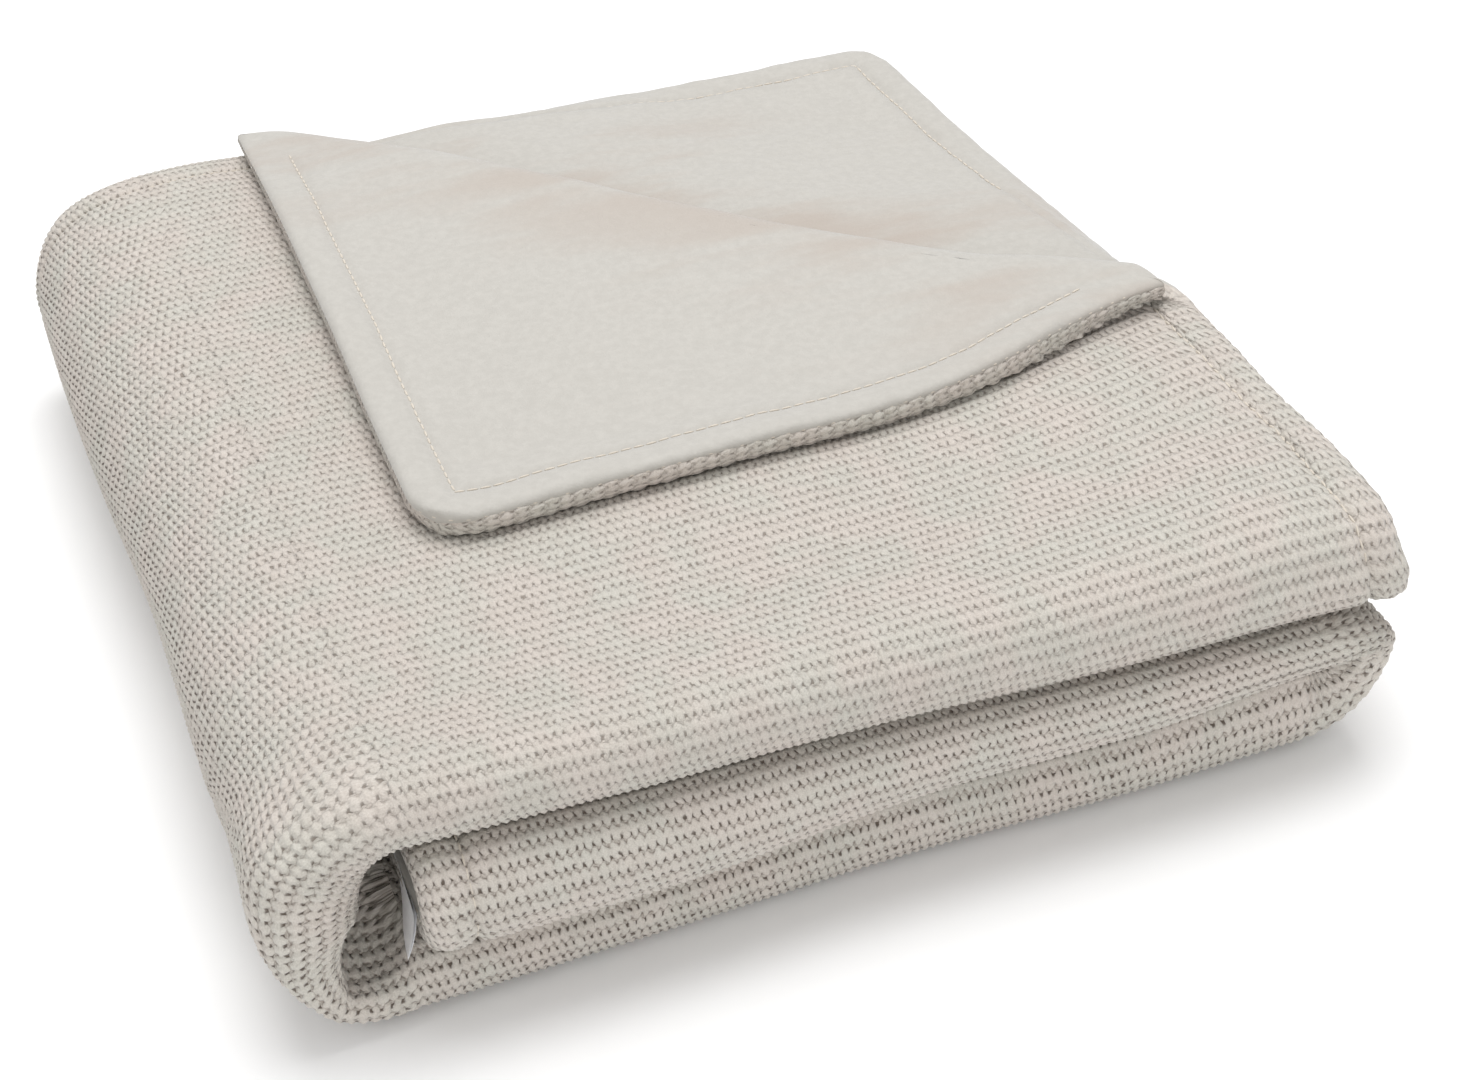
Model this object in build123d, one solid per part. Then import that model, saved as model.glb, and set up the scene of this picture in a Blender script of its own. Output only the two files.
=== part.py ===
from build123d import *
import os

# A two-layer throw: a chunky knit face and a plush fleece lining, sewn together round the edge, turned
# right side out and topstitched. It is folded in half with the fleece inside, the fold at the front, and
# that double strip is rolled in thirds: top third, round the left turn, bottom third, round the right
# turn, middle third inside. The free back corner of the upper layer is turned back over the top.
# Frame: origin under the middle of the pile, on the surface it lies on. +X runs to the right along the
# front fold, +Y to the back hems, +Z up. Millimetres.

# Driving dimensions
KNIT = 6.0  # thickness of the knit face
FLEECE = 7.0  # thickness of the fleece lining
CORE_GAP = 1.0  # air between the two fleeces of a folded strip
LAYER_GAP = 0.8  # air between one third and the next
LEFT = -170.0  # outside of the left turn
RIGHT = 170.0  # hemmed right-hand end of the top third
RIGHT_TURN = 165.0  # outside of the right turn
MIDDLE_END = -127.0  # hemmed left-hand end of the middle third
BACK = 189.0  # back hems of the top and bottom thirds
MIDDLE_BACK = 182.0
TOP_FRONT = -182.0  # front fold of each stretch of the strip: they don't lie quite flush
LEFT_TURN_FRONT = -180.0
BOTTOM_FRONT = -177.0
RIGHT_TURN_FRONT = -183.0
MIDDLE_FRONT = -189.0
CORNER_RADIUS = 22.0  # the throw's own rounded corners
FLAP_LEG = 262.0  # edge length of the corner that is turned back
FOLD_CLEARANCE = 0.15  # from the fold axis to the knit on each side of it
HEM_WRAP = 4.0  # how far the knit rolls round a hem
STITCH_IN = 14.0  # topstitch, in from the hem
CHANNEL_WIDTH = 2.4  # groove that the topstitch pulls into the pile
CHANNEL_DEPTH = 1.4
THREAD = 0.8
LABEL_WIDTH = 24.0  # care label, along the hem
LABEL_DROP = 17.0  # care label, from the hem down
LABEL_LEAF = 0.5  # one leaf of the folded label
LABEL_FRONT = -166.0
LABEL_TOP = 46.0
LABEL_CLEARANCE = 0.6

# Worked out from them
STRIP = 2 * (KNIT + FLEECE) + CORE_GAP
BOTTOM_MID = STRIP / 2
MIDDLE_MID = BOTTOM_MID + STRIP + LAYER_GAP
TOP_MID = MIDDLE_MID + STRIP + LAYER_GAP
PILE_TOP = TOP_MID + STRIP / 2
LEFT_CENTRE_Z = PILE_TOP / 2  # the left turn stands on the surface, so its centre is its radius up
LEFT_CENTRE_X = LEFT + LEFT_CENTRE_Z
RIGHT_CENTRE_Z = (BOTTOM_MID + MIDDLE_MID) / 2
RIGHT_CENTRE_X = RIGHT_TURN - RIGHT_CENTRE_Z
FOLD_Z = PILE_TOP + FOLD_CLEARANCE
FOLD_LEFT = (RIGHT - FLAP_LEG, BACK)  # where the turned-back fold meets the back edge
FOLD_RIGHT = (RIGHT, BACK - FLAP_LEG)  # and the right-hand edge
TALL = 400.0  # height of the upright prisms that cut the plan shapes
OVERRUN = 1.0  # how far a cutting shape runs past what it cuts
LABEL_BEND = 0.9 * LABEL_LEAF  # rounding of the label's folded edge

nodes = {}


# Cross-sections of the strip, in the (y, z) plane: local x is +Y, local y is +Z.


def hairpin(front, back, half):
    """A strip's outline seen from its end: a straight run closed by a round fold at the front."""
    run = Pos((front + half + back) / 2, 0) * Rectangle(back - front - half, 2 * half)
    return run + Pos(front + half, 0) * Circle(half)


def whole_strip(front, back):
    """Knit, fleece and all, open along the core from the back hems to the fold."""
    core = hairpin(front + KNIT + FLEECE, back + OVERRUN, CORE_GAP / 2)
    return hairpin(front, back, STRIP / 2) - core


def lining(front, back):
    core = hairpin(front + KNIT + FLEECE, back + OVERRUN, CORE_GAP / 2)
    return hairpin(front + KNIT, back - HEM_WRAP, STRIP / 2 - KNIT) - core


def thread_levels():
    """(inset from the hem, thread's low and high, groove's low and high), heights from mid-strip."""
    half_seam = THREAD / 2
    levels = []
    for side in (-1, 1):
        for face, inward in ((side * STRIP / 2, -side), (side * CORE_GAP / 2, side)):
            deep = face + inward * CHANNEL_DEPTH
            shallow = face + inward * (CHANNEL_DEPTH - THREAD)
            levels.append((STITCH_IN, *sorted((deep, shallow)), *sorted((deep, face))))
        seam = side * (CORE_GAP + FLEECE) / 2
        levels.append((HEM_WRAP, seam - half_seam, seam + half_seam, seam - half_seam, seam + half_seam))
    return levels


def line_width(inset):
    return CHANNEL_WIDTH if inset == STITCH_IN else THREAD


# Stretches of the strip. Each makes solids from a cross-section.


def straight(section, x_start, x_end, mid):
    """A flat stretch between two x positions, at mid-height mid."""
    plane = Plane(origin=(min(x_start, x_end), 0, mid), x_dir=(0, 1, 0), z_dir=(1, 0, 0))
    return extrude(plane * section, amount=abs(x_end - x_start))


def turn(section, centre_x, centre_z, mid, axis_y, degrees):
    """A stretch that rolls about a line along Y, starting where the strip lies flat at mid-height mid."""
    plane = Plane(origin=(centre_x, 0, mid), x_dir=(0, 1, 0), z_dir=(1, 0, 0))
    axis = Axis((centre_x, 0, centre_z), (0, axis_y, 0))
    return revolve(plane * section, axis=axis, revolution_arc=degrees)


def threads_of(sweep, back):
    """The back hem's threads and the grooves they lie in, carried along a stretch of the strip."""
    threads, grooves = [], []
    for inset, low, high, groove_low, groove_high in thread_levels():
        thread = Pos(back - inset, (low + high) / 2) * Rectangle(THREAD, high - low)
        groove_middle = (groove_low + groove_high) / 2
        groove = Pos(back - inset, groove_middle) * Rectangle(line_width(inset), groove_high - groove_low)
        threads.append((inset, sweep(thread)))
        grooves.append(sweep(groove))
    return threads, grooves


def plan(x_start, x_end, front, back, radius):
    """The plan outline of a hemmed end: a rectangle with its back outer corner rounded."""
    centre = Pos((x_start + x_end) / 2, (front + back) / 2)
    outline = centre * Rectangle(abs(x_end - x_start), back - front)
    corner = outline.vertices().sort_by_distance((x_end, back, 0))[0]
    return fillet(corner, radius)


def inset_plan(x_start, x_end, front, back, inset):
    """The same outline, moved in from the end hem and the back hem."""
    outward = 1 if x_end > x_start else -1
    return plan(x_start, x_end - outward * inset, front, back - inset, CORNER_RADIUS - inset)


def prism(outline, low, high):
    return extrude(Pos(0, 0, low) * outline, amount=high - low)


def hem_line(ends, inset, width, low, high):
    """A band of one width that follows the back hem and the end hem, round their corner."""
    outer = inset_plan(*ends, inset - width / 2)
    inner = inset_plan(*ends, inset + width / 2)
    return prism(outer - inner, low, high)


def end_threads(ends, mid):
    threads, grooves = [], []
    for inset, low, high, groove_low, groove_high in thread_levels():
        threads.append((inset, hem_line(ends, inset, THREAD, mid + low, mid + high)))
        grooves.append(hem_line(ends, inset, line_width(inset), mid + groove_low, mid + groove_high))
    return threads, grooves


def without(solid, cuts):
    for cut in cuts:
        solid = solid - cut
    return solid


def store(stretch, knit, fleece, threads):
    nodes["knit_" + stretch] = knit
    nodes["fleece_" + stretch] = fleece
    nodes["topstitch_" + stretch] = Compound([s for i, t in threads if i == STITCH_IN for s in t.solids()])
    nodes["seam_thread_" + stretch] = Compound([s for i, t in threads if i == HEM_WRAP for s in t.solids()])


def open_stretch(stretch, sweep, front, back):
    """A stretch that runs on into its neighbours at both ends."""
    threads, grooves = threads_of(sweep, back)
    fleece = sweep(lining(front, back))
    knit = sweep(whole_strip(front, back)) - fleece
    store(stretch, without(knit, grooves), without(fleece, grooves), threads)


def hemmed_stretch(stretch, x_start, x_end, front, back, mid):
    """A flat stretch that ends in a hem, with the throw's rounded corner at the back."""
    outward = 1 if x_end > x_start else -1
    ends = (x_start, x_end, front, back)
    line_ends = (x_start, x_end, front + STRIP / 2, back)
    threads, grooves = end_threads(line_ends, mid)
    outline = prism(plan(*ends, CORNER_RADIUS), 0, TALL)
    inner_outline = prism(inset_plan(*ends, HEM_WRAP), 0, TALL)
    fleece = straight(lining(front, back), x_start, x_end - outward * HEM_WRAP, mid) & inner_outline
    knit = (straight(whole_strip(front, back), x_start, x_end, mid) & outline) - fleece
    store(stretch, without(knit, grooves), without(fleece, grooves), threads)


def turned_back(solid):
    """A piece of the closed corner, turned over about the fold line to lie on top of the pile."""
    start = (*FOLD_LEFT, FOLD_Z)
    direction = (FOLD_RIGHT[0] - FOLD_LEFT[0], FOLD_RIGHT[1] - FOLD_LEFT[1], 0)
    return solid.rotate(Axis(start, direction), 180)


def corner_prism():
    """The upper layer's corner, behind the fold line."""
    outline = make_face(Polyline(FOLD_LEFT, FOLD_RIGHT, (RIGHT + OVERRUN, BACK + OVERRUN), close=True))
    return prism(outline, TOP_MID, FOLD_Z)


def fold_back_corner():
    """Moves the upper layer's corner of the top third into nodes of its own, turned back."""
    corner = corner_prism()
    for piece in ("knit", "fleece", "topstitch", "seam_thread"):
        whole = nodes[piece + "_top_third"]
        kept = [s - corner for s in whole.solids()]
        moved = [s & corner for s in whole.solids()]
        nodes[piece + "_top_third"] = Compound([s for k in kept for s in k.solids()])
        flap = Compound([s for m in moved if m for s in m.solids()])
        nodes[piece + "_corner_flap"] = turned_back(flap)


def corner_roll(inner, outer):
    """Half a tube round the fold line, on the side that the corner was turned back from."""
    along = Vector(FOLD_RIGHT[0] - FOLD_LEFT[0], FOLD_RIGHT[1] - FOLD_LEFT[1], 0)
    overrun = outer
    start = Vector(*FOLD_LEFT, FOLD_Z) - along.normalized() * overrun
    plane = Plane(origin=start, x_dir=(0, 0, 1), z_dir=along)
    ring = Circle(outer) - Circle(inner)
    behind = Pos(0, -outer) * Rectangle(2 * outer, 2 * outer)
    tube = extrude(plane * (ring & behind), amount=along.length + 2 * overrun)
    return tube & prism(plan(LEFT_CENTRE_X, RIGHT, TOP_FRONT, BACK, CORNER_RADIUS), 0, TALL)


def care_label():
    """A blank folded satin tape, sewn into the end hem of the middle third and hanging in the turn."""
    x_near = MIDDLE_END - LABEL_CLEARANCE
    thick = 2 * LABEL_LEAF
    middle = (x_near - thick / 2, LABEL_FRONT + LABEL_WIDTH / 2, LABEL_TOP - LABEL_DROP / 2)
    tape = Pos(*middle) * Box(thick, LABEL_WIDTH, LABEL_DROP)
    fold = tape.edges().filter_by(Axis.Y).group_by(Axis.Z)[0]
    return fillet(fold, LABEL_BEND)


def make_strip():
    middle = (RIGHT_CENTRE_X, MIDDLE_END, MIDDLE_FRONT, MIDDLE_BACK)
    hemmed_stretch("top_third", LEFT_CENTRE_X, RIGHT, TOP_FRONT, BACK, TOP_MID)
    hemmed_stretch("middle_third", *middle, MIDDLE_MID)

    def bottom(section):
        return straight(section, LEFT_CENTRE_X, RIGHT_CENTRE_X, BOTTOM_MID)

    def left_upper(section):
        return turn(section, LEFT_CENTRE_X, LEFT_CENTRE_Z, TOP_MID, -1, 90)

    def left_lower(section):
        return turn(section, LEFT_CENTRE_X, LEFT_CENTRE_Z, BOTTOM_MID, 1, 90)

    def right(section):
        return turn(section, RIGHT_CENTRE_X, RIGHT_CENTRE_Z, BOTTOM_MID, -1, 180)

    open_stretch("bottom_third", bottom, BOTTOM_FRONT, BACK)
    open_stretch("left_turn_upper", left_upper, LEFT_TURN_FRONT, BACK)
    open_stretch("left_turn_lower", left_lower, LEFT_TURN_FRONT, BACK)
    open_stretch("right_turn", right, RIGHT_TURN_FRONT, MIDDLE_BACK)


make_strip()
fold_back_corner()
nodes["knit_corner_roll"] = corner_roll(FOLD_CLEARANCE, FOLD_CLEARANCE + KNIT)
nodes["fleece_corner_roll"] = corner_roll(FOLD_CLEARANCE + KNIT, FOLD_CLEARANCE + KNIT + FLEECE)
nodes["care_label"] = care_label()

os.makedirs("parts", exist_ok=True)
for name, shape in nodes.items():
    export_step(shape, os.path.join("parts", name + ".step"))
    box = shape.bounding_box()
    print(name, len(shape.solids()), "solids", [round(v, 1) for v in (*box.min, *box.max)])
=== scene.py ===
import math

import bmesh
import bpy
import numpy as np
from mathutils import Matrix, Vector
from mathutils.bvhtree import BVHTree


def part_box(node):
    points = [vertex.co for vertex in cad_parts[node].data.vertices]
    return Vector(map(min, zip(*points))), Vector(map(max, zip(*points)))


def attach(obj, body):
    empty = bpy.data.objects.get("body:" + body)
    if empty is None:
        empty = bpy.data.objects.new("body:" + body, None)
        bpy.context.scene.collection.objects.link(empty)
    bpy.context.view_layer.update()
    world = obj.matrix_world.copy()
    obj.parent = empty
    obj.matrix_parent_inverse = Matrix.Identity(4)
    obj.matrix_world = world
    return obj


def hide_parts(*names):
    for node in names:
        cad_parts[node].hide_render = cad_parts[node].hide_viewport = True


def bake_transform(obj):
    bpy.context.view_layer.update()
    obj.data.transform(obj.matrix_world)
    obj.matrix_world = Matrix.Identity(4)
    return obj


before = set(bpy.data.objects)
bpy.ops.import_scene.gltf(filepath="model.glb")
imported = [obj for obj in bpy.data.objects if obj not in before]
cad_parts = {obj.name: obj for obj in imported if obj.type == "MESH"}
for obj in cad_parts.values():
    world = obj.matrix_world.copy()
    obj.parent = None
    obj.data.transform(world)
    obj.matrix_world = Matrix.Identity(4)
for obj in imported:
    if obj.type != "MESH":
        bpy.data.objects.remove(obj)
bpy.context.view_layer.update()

# ---------------------------------------------------------------- sizes, in millimetres, from the frame
MM = 0.001
ROOT2 = math.sqrt(2)


def corners(node):
    """A CAD node's lowest and highest corner, in millimetres."""
    low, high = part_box(node)
    return np.array(low) / MM, np.array(high) / MM


TOP_LOW, TOP_HIGH = corners("knit_top_third")
MIDDLE_LOW, MIDDLE_HIGH = corners("knit_middle_third")
BOTTOM_LOW, BOTTOM_HIGH = corners("knit_bottom_third")
FLAP_LOW = corners("knit_corner_flap")[0]

LEFT_X, RIGHT_X = TOP_LOW[0], TOP_HIGH[0]  # where the left turn starts, and the free end of the top third
BACK = TOP_HIGH[1]
TOP_MID = (TOP_LOW[2] + TOP_HIGH[2]) / 2
MIDDLE_MID = (MIDDLE_LOW[2] + MIDDLE_HIGH[2]) / 2
BOTTOM_MID = (BOTTOM_LOW[2] + BOTTOM_HIGH[2]) / 2
HALF = (TOP_HIGH[2] - TOP_LOW[2]) / 2  # half the thickness of the doubled strip
MIDDLE_END, TURN_X = MIDDLE_LOW[0], MIDDLE_HIGH[0]
LEFT_RADIUS = (TOP_MID - BOTTOM_MID) / 2
RIGHT_RADIUS = (MIDDLE_MID - BOTTOM_MID) / 2
LEFT_Z = (TOP_MID + BOTTOM_MID) / 2
RIGHT_Z = (MIDDLE_MID + BOTTOM_MID) / 2
FOLD_SUM = FLAP_LOW[0] + BACK  # the corner is folded along x + y = this
FOLD_LENGTH = ROOT2 * (RIGHT_X - FLAP_LOW[0])
PILE_TOP = TOP_HIGH[2]

STITCH = 2.6  # one knitted stitch, along the rows
ROW = 4.6  # one row of stitches
ROW_WAVE = 0.13  # how far the line between two rows winds, in rows
LAYER = 13.0  # knit and fleece together
KNIT = 6.2  # the knit alone
PLY_GAP = 0.1  # between knit and fleece
EDGE = LAYER / 2  # radius of the rolled hem
WRAP_END, WRAP_BACK = 1.0, 0.3  # how far the knit laps round the hem onto the fleece
INSET_END, INSET_BACK = 0.4, 0.2  # where the edge of the fleece stops short of the hem
HEM_LINE = 14.0  # topstitch, in from the hem
FLEECE_EDGE, FLEECE_RIM = 4.0, 9.6  # how wide the fleece's rounded edge is, and how deep its rim lies
CORNER = 22.0  # radius of the cloth's rounded corners
CORNER_INSIDE = CORNER - 3
FLAP_GAP = 0.3
FLAP_FRONT, FLAP_BULGE = -179.5, 16.8  # the front fold, as the turned corner's cloth leaves it
TOP_LENGTH = RIGHT_X - LEFT_X
BOTTOM_LENGTH = TURN_X - LEFT_X
MIDDLE_LENGTH = TURN_X - MIDDLE_END
HALF_WIDTH = 380.0  # from the fold at the front to the hem at the back, round the fold
LOWER, UPPER = -HALF_WIDTH, HALF_WIDTH
FLEECE_WIDTH = HALF_WIDTH - INSET_BACK
FLAT = 1e-12
FAR = 1e3


# ---------------------------------------------------------------- shape of the pile
def smooth(t):
    """0 below 0, 1 above 1, with an even slope between."""
    t = np.clip(t, 0, 1)
    return t * t * (3 - 2 * t)


def hill(t):
    """1 at 0, falling away on both sides."""
    return np.exp(-t * t)


def bell(x, y, radius):
    """A round hill on the plan."""
    return np.exp(-(x * x + y * y) / radius ** 2)


def waves(x, y, length, seed):
    """Slow unevenness of soft cloth, about -1 to 1, the same on every run."""
    random = np.random.default_rng(seed)
    total = 0
    for _ in range(7):
        angle, phase, stretch = random.uniform(0, math.tau), random.uniform(0, math.tau), random.uniform(0.7, 1.5)
        along = x * math.cos(angle) + y * math.sin(angle)
        total = total + np.sin(along * math.tau / (length * stretch) + phase)
    return total / 3.5


def past_fold(x, y):
    """How far behind the diagonal fold a place is."""
    return (x + y - FOLD_SUM) / ROOT2


def settle(x, y, z):
    """How the whole pile has settled. Every piece goes through it, so layers that touch stay together."""
    high = smooth((z - 45) / 35)
    behind = past_fold(x, y)
    under = smooth((x - FLAP_LOW[0] + 8) / 40) * smooth((y - FLAP_LOW[1] + 12) / 40) * smooth(-behind / 70)
    pulled = bell(x - RIGHT_X, y - FLAP_LOW[1], 72) * smooth((z - 66) / 8)
    pressed = bell(x - FLAP_LOW[0], y - BACK, 60)
    above = np.maximum(z - (PILE_TOP - LAYER), 0)
    turned = smooth((z - 80) / 10)
    # thinner under the ends of the diagonal fold, and sunk under the turned corner
    z = z - above * (0.36 * pressed + 0.27 * pulled + 0.06 * under + 0.1 * hill(behind / 35))
    z = z - 2.6 * under * high
    # at the front, the line between the middle and the bottom third rises to the right
    front = smooth((-110 - y) / 50)
    z = z + front * (1.0 + 4.5 * smooth((x + 60) / 100) + 6.0 * smooth((x - 80) / 60)) * hill((z - 28) / 19)
    z = z - 3.0 * front * x / 130 * hill((z - 56) / 12)
    z = z + high * (0.9 * waves(x, y, 150, 3) + 0.35 * waves(x, y, 48, 4))
    # the right end is askew, and the turned corner's right end is drawn back
    skew = np.clip(0.066 * (45 - y), -9, 9) + 5.0 * hill((y + 25) / 75) * high
    skew = skew - 6.0 * smooth((-125 - y) / 50) * high
    x = x + skew * smooth((x - 50) / 110) - (3.0 + 12.0 * turned) * pulled
    x = x - 5.0 * smooth((-110 - x) / 50) * smooth((y + 20) / 160)
    x = x + 1.4 * waves(y, z, 160, 5) * smooth((abs(x) - 120) / 40)
    y = y + 9.0 * smooth((y - 90) / 90) * smooth((x + 150) / 50) * smooth((z - 48) / 12)
    y = y + (27.0 + 7.0 * turned) * pulled + 1.2 * waves(x, z, 130, 6) * smooth((abs(y) - 130) / 50)
    return x, y, z


def section(v, front, bulge, lift, sag, back=None):
    """Across the strip, at v from the fold at its front: the depth y, and the height w over the strip's middle.
    The fold is round, with radius bulge, lift above the middle, and the upper ply dips by sag behind it."""
    back = BACK if back is None else back
    turned = np.clip(v / bulge, -math.pi / 2, math.pi / 2)
    run = np.maximum(np.abs(v) - bulge * math.pi / 2, 0)
    whole = HALF_WIDTH - bulge * math.pi / 2
    y = front + bulge * (1 - np.cos(turned)) + run * (back - front - bulge) / whole
    w = lift + bulge * np.sin(turned)
    w = w + (np.sign(v) * HALF - w) * smooth(run / 60)
    w = w - np.where(v > 0, sag * hill((run - 40) / 26) * smooth(run / 15), 0)
    return y, w


def even(v):
    """Round a turn the stitches keep step with the middle of the cloth at its front, and their size behind."""
    return smooth((np.abs(v) - 12) / 50)


def top_third(u, v):
    plump = smooth((u - 20) / 220)
    y, w = section(v, -181 + 1.5 * plump, 12.5 + 4.3 * plump, 2.6 - 0.6 * plump, 2.2)
    droop = 1.5 * smooth((u - 240) / 70) * smooth((-90 - y) / 80)
    return LEFT_X + u, y, TOP_MID + w - droop, u


PINCH_AT = np.radians([0, 55, 92, 122, 142, 160, 180])  # the front of the left turn is pinched towards the floor


def left_turn(u, v):
    low = smooth((u - 1.2) / 1.9)
    bulge = np.interp(u, PINCH_AT, (12.5, 14.5, 14.5, 8.0, 4.0, 6.0, 11.0))
    lift = np.interp(u, PINCH_AT, (2.6, -0.5, -1.0, 4.5, 8.5, 6.0, 1.4))
    y, w = section(v, -181 + 3 * low, bulge, lift, 2.2 * (1 - low))
    arm = LEFT_RADIUS + w
    return LEFT_X - arm * np.sin(u), y, LEFT_Z + arm * np.cos(u), -u * (LEFT_RADIUS + w * even(v))


def bottom_third(u, v):
    plump = smooth(u / 90)
    y, w = section(v, -178 + 2 * plump, 11 + 1.6 * plump, 1.4 - 0.6 * plump, 0)
    return LEFT_X + u, y, BOTTOM_MID - w, -math.pi * LEFT_RADIUS - u


def right_turn(u, v):
    turned = smooth(u / math.pi)
    open_front = np.sin(u) ** 2
    y, w = section(v, -176 - 9 * turned, 12.6 - 4.2 * open_front, 0.8 - 0.8 * turned + 3.4 * open_front, 0,
                   BACK + (MIDDLE_HIGH[1] - BACK) * turned)
    arm = RIGHT_RADIUS + np.maximum(w, 0.6 - RIGHT_RADIUS)
    around = -math.pi * LEFT_RADIUS - BOTTOM_LENGTH - u * (RIGHT_RADIUS + (arm - RIGHT_RADIUS) * even(v))
    return TURN_X + arm * np.sin(u), y, RIGHT_Z - arm * np.cos(u), around


def middle_third(u, v):
    plump = smooth(u / 240)
    y, w = section(v, -185 - 4 * plump, 12.6 + 3.4 * plump, 0.9 * plump, 0, MIDDLE_HIGH[1])
    around = -math.pi * (LEFT_RADIUS + RIGHT_RADIUS) - BOTTOM_LENGTH - u
    return TURN_X - u, y, MIDDLE_MID + w, around


def open_at(along):
    """How far the fold of the corner stands open, most where it meets the right hem."""
    return 1.8 * smooth((along - FOLD_LENGTH + 90) / 90) + 0.8 * smooth((50 - along) / 50)


def unturned(u, v):
    """Where the turned corner's cloth would lie on the plan, had it not been turned."""
    return LEFT_X + u, section(v, FLAP_FRONT, FLAP_BULGE, 0, 0)[0]


def corner_flap(u, v):
    """The corner turned back over the pile. u and v are those of the top third that it belongs to."""
    x, y = unturned(u, v)
    behind = np.maximum(past_fold(x, y), 0)
    along = (x - FLAP_LOW[0] - y + BACK) / ROOT2
    reach = behind / (FOLD_LENGTH / 2)
    lifted = 2 * open_at(along) * (1 - smooth((behind - 8) / 100))
    return np.stack([FOLD_SUM - y - 2 * reach, FOLD_SUM - x - 5 * reach, PILE_TOP + FLAP_GAP + lifted], -1)


def corner_roll(u, v):
    """The fold of the turned corner: u runs along it from the back hem, v is the angle round it."""
    gap = open_at(u) + FLAP_GAP / 2
    skew = 1.25 * gap * np.cos(v)
    share = np.clip(u / FOLD_LENGTH, 0, 1)
    along = u + skew * (1 - 2 * share)
    x = FLAP_LOW[0] + along / ROOT2
    y = BACK - along / ROOT2
    out = gap * np.cos(v)
    return np.stack([x + out / ROOT2, y + out / ROOT2, PILE_TOP + gap + gap * np.sin(v)], -1)


# each stretch's shape, the side that its outside is on, and a small step along it
STRETCHES = {
    "top_third": (top_third, 1, 0.02), "left_turn": (left_turn, -1, 0.002), "bottom_third": (bottom_third, -1, 0.02),
    "right_turn": (right_turn, -1, 0.002), "middle_third": (middle_third, -1, 0.02),
}
STEP_ACROSS = 0.02


def surface(stretch, u, v):
    """Points on the outside of the cloth, the direction out of it, and the pattern's place along the rows."""
    shape, side, step = STRETCHES[stretch]
    x, y, z, around = shape(u, v)
    here = np.stack([x, y, z], -1)
    on_u = np.stack(shape(u + step, v)[:3], -1) - here
    on_v = np.stack(shape(u, v + STEP_ACROSS)[:3], -1) - here
    out = np.cross(on_u, on_v) * side
    length = np.linalg.norm(out, axis=-1, keepdims=True)
    return here, out / np.maximum(length, FLAT), around


def relief(around, v, height=1.2):
    """Plump stitches, each row half a stitch on from the last, with the lines between rows sunk."""
    along = np.cos(around * math.tau / STITCH)
    row = v / ROW
    row = np.cos(math.pi * (row - ROW_WAVE * along * np.sin(math.pi * row)))
    return height * (0.75 * np.abs(row) + 0.25 * along * row - 0.4)


# where across each stretch the grid is close enough to carry stitches
FINE = {"top_third": (-47, FAR), "left_turn": (-98, FAR), "bottom_third": (-26, 28), "right_turn": (-60, FAR),
        "middle_third": (-30, 43)}


def hem_arc(d):
    """How much further round the rolled hem it is than it looks from above."""
    t = np.clip(1 - d / EDGE, 0, 1)
    return EDGE * (np.arcsin(t) - t)


def weave_at(around, v, from_end, from_back, end):
    """The pattern's place, followed round the hems, for the outside and for what laps round to the inside."""
    at_end = from_end < from_back
    extra = hem_arc(np.minimum(from_end, from_back))
    last = end + np.sign(end) * EDGE * (math.pi / 2 - 1)
    edge = HALF_WIDTH + EDGE * (math.pi / 2 - 1)
    u_out, v_out = around + np.where(at_end, extra * np.sign(end), 0), v + np.where(at_end, 0, np.sign(v) * extra)
    u_in = np.where(at_end, 2 * last - u_out, u_out)
    v_in = np.where(at_end, v_out, 2 * edge * np.sign(v) - v_out)
    return np.stack([u_out, v_out], -1), np.stack([u_in, v_in], -1)


def settled(points):
    """Points after the pile has settled."""
    return np.stack(settle(points[..., 0], points[..., 1], points[..., 2]), -1)


def lines(start, end, step, hem_start=False, hem_end=False, first=None):
    """Where a grid's lines fall: even, and closer together round a rolled hem."""
    insets = EDGE * (1 - np.sin(np.radians([90, 72, 54, 36, 18, 0])))
    insets = np.append(insets, [8.3, 10.2, 12.0, 13.2, HEM_LINE, 14.8, 16.0])
    low = start + (insets[-1] if hem_start else 0)
    high = end - (insets[-1] if hem_end else 0)
    if first is None:
        inner = np.linspace(low, high, max(2, int(round((high - low) / step)) + 1))
    else:
        lowest, highest = (low + 0.4 * step - first) / step, (high - 0.4 * step - first) / step
        inner = np.concatenate([[low], np.arange(math.ceil(lowest), highest) * step + first, [high]])
    parts = [inner]
    if hem_start:
        parts.insert(0, (start + insets)[:-1])
    if hem_end:
        parts.append((end - insets[::-1])[1:])
    return np.concatenate(parts)


def round_corners(u, v, end, width, radius, has_end):
    """Turns the square corners of the cloth round. Returns u, v and the distances from the end hem and back hem."""
    from_back = width - np.abs(v)
    if not has_end:
        return u, v, np.full_like(u, FAR), from_back
    p = np.clip((u - end + radius) / radius, 0, 1)
    q = np.clip((radius - from_back) / radius, 0, 1)
    both = (p > 0) & (q > 0)
    new_u = np.where(both, end - radius + radius * p * np.sqrt(1 - q * q / 2), u)
    new_v = np.where(both, np.sign(v) * (width - radius + radius * q * np.sqrt(1 - p * p / 2)), v)
    return new_u, new_v, end - u, from_back


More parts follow.
